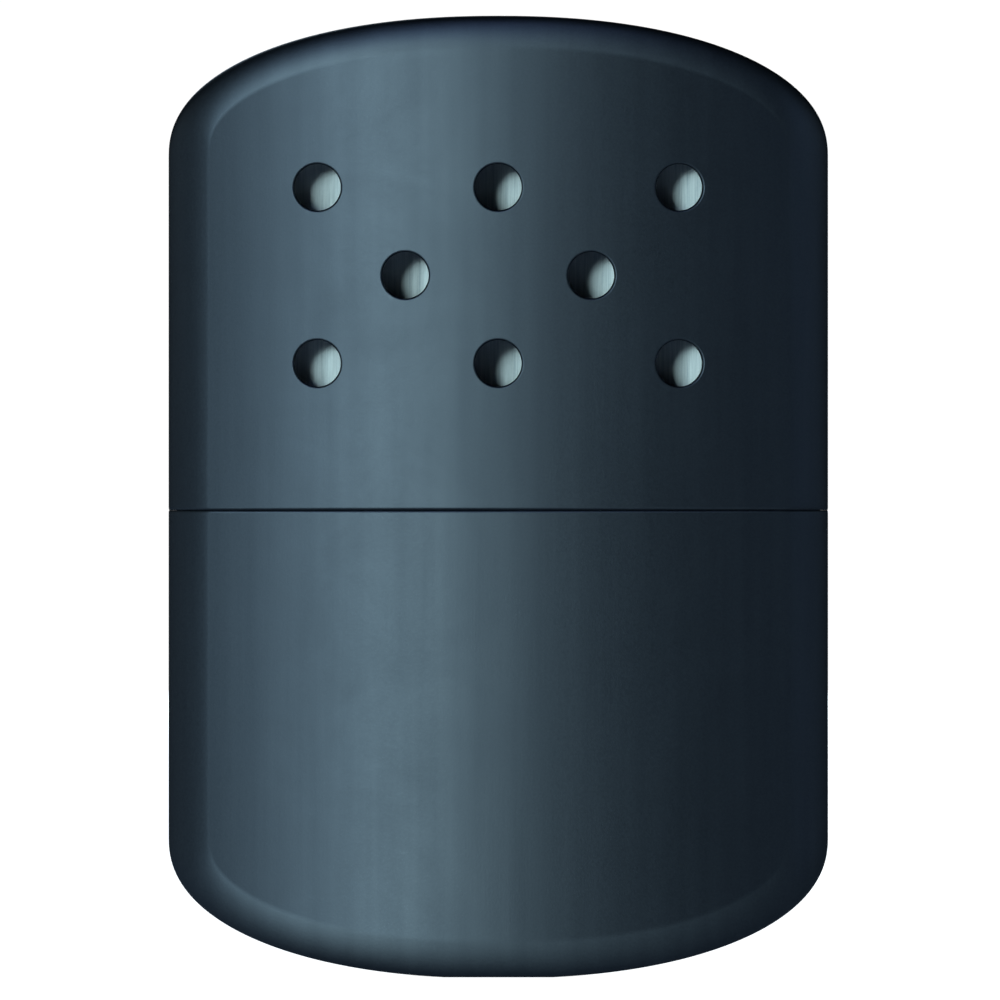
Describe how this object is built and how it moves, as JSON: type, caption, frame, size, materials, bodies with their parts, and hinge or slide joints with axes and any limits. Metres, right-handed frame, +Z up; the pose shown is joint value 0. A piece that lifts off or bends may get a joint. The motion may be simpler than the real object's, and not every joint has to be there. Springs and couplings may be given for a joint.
{
  "type": "hand warmer",
  "caption": "Flat, round-ended pocket hand warmer: a wadded fuel tank with a pull-off pierced lid over a plug-in catalytic burner.",
  "frame": {"origin": "middle of the flat foot that the tank stands on", "axes": "+Z up through tank and lid, -Y out of the pierced face, +X to the right seen from that face"},
  "size_m": [0.0676, 0.013, 0.0982],
  "materials": {
    "case_paint": "satin",
    "bare_steel": "brushed",
    "burner_steel": "bright",
    "cotton": "fluffy",
    "felt": "felted",
    "glass_fibre": "matted"
  },
  "bodies": {
    "tank": {"tank_shell": "case_paint", "collar_band": "bare_steel", "tank_deck": "bare_steel", "filler_neck": "bare_steel", "wick_screen": "bare_steel", "neck_wick": "felt", "wadding_lower": "cotton", "wadding_middle": "cotton", "wadding_upper": "cotton"},
    "lid": {"lid_shell": "case_paint"},
    "burner": {"burner_skirt": "burner_steel", "burner_gauze": "burner_steel", "burner_cage": "burner_steel", "mat_core": "burner_steel", "mat_wire_left": "burner_steel", "mat_wire_right": "burner_steel", "catalyst_mat": "glass_fibre"}
  },
  "joints": [
    {"name": "lid_lift", "type": "slide", "parent": "tank", "child": "lid", "axis": [0, 0, 1], "range_m": [0, 0.024]},
    {"name": "burner_lift", "type": "slide", "parent": "tank", "child": "burner", "axis": [0, 0, 1], "range_m": [0, 0.008]}
  ]
}
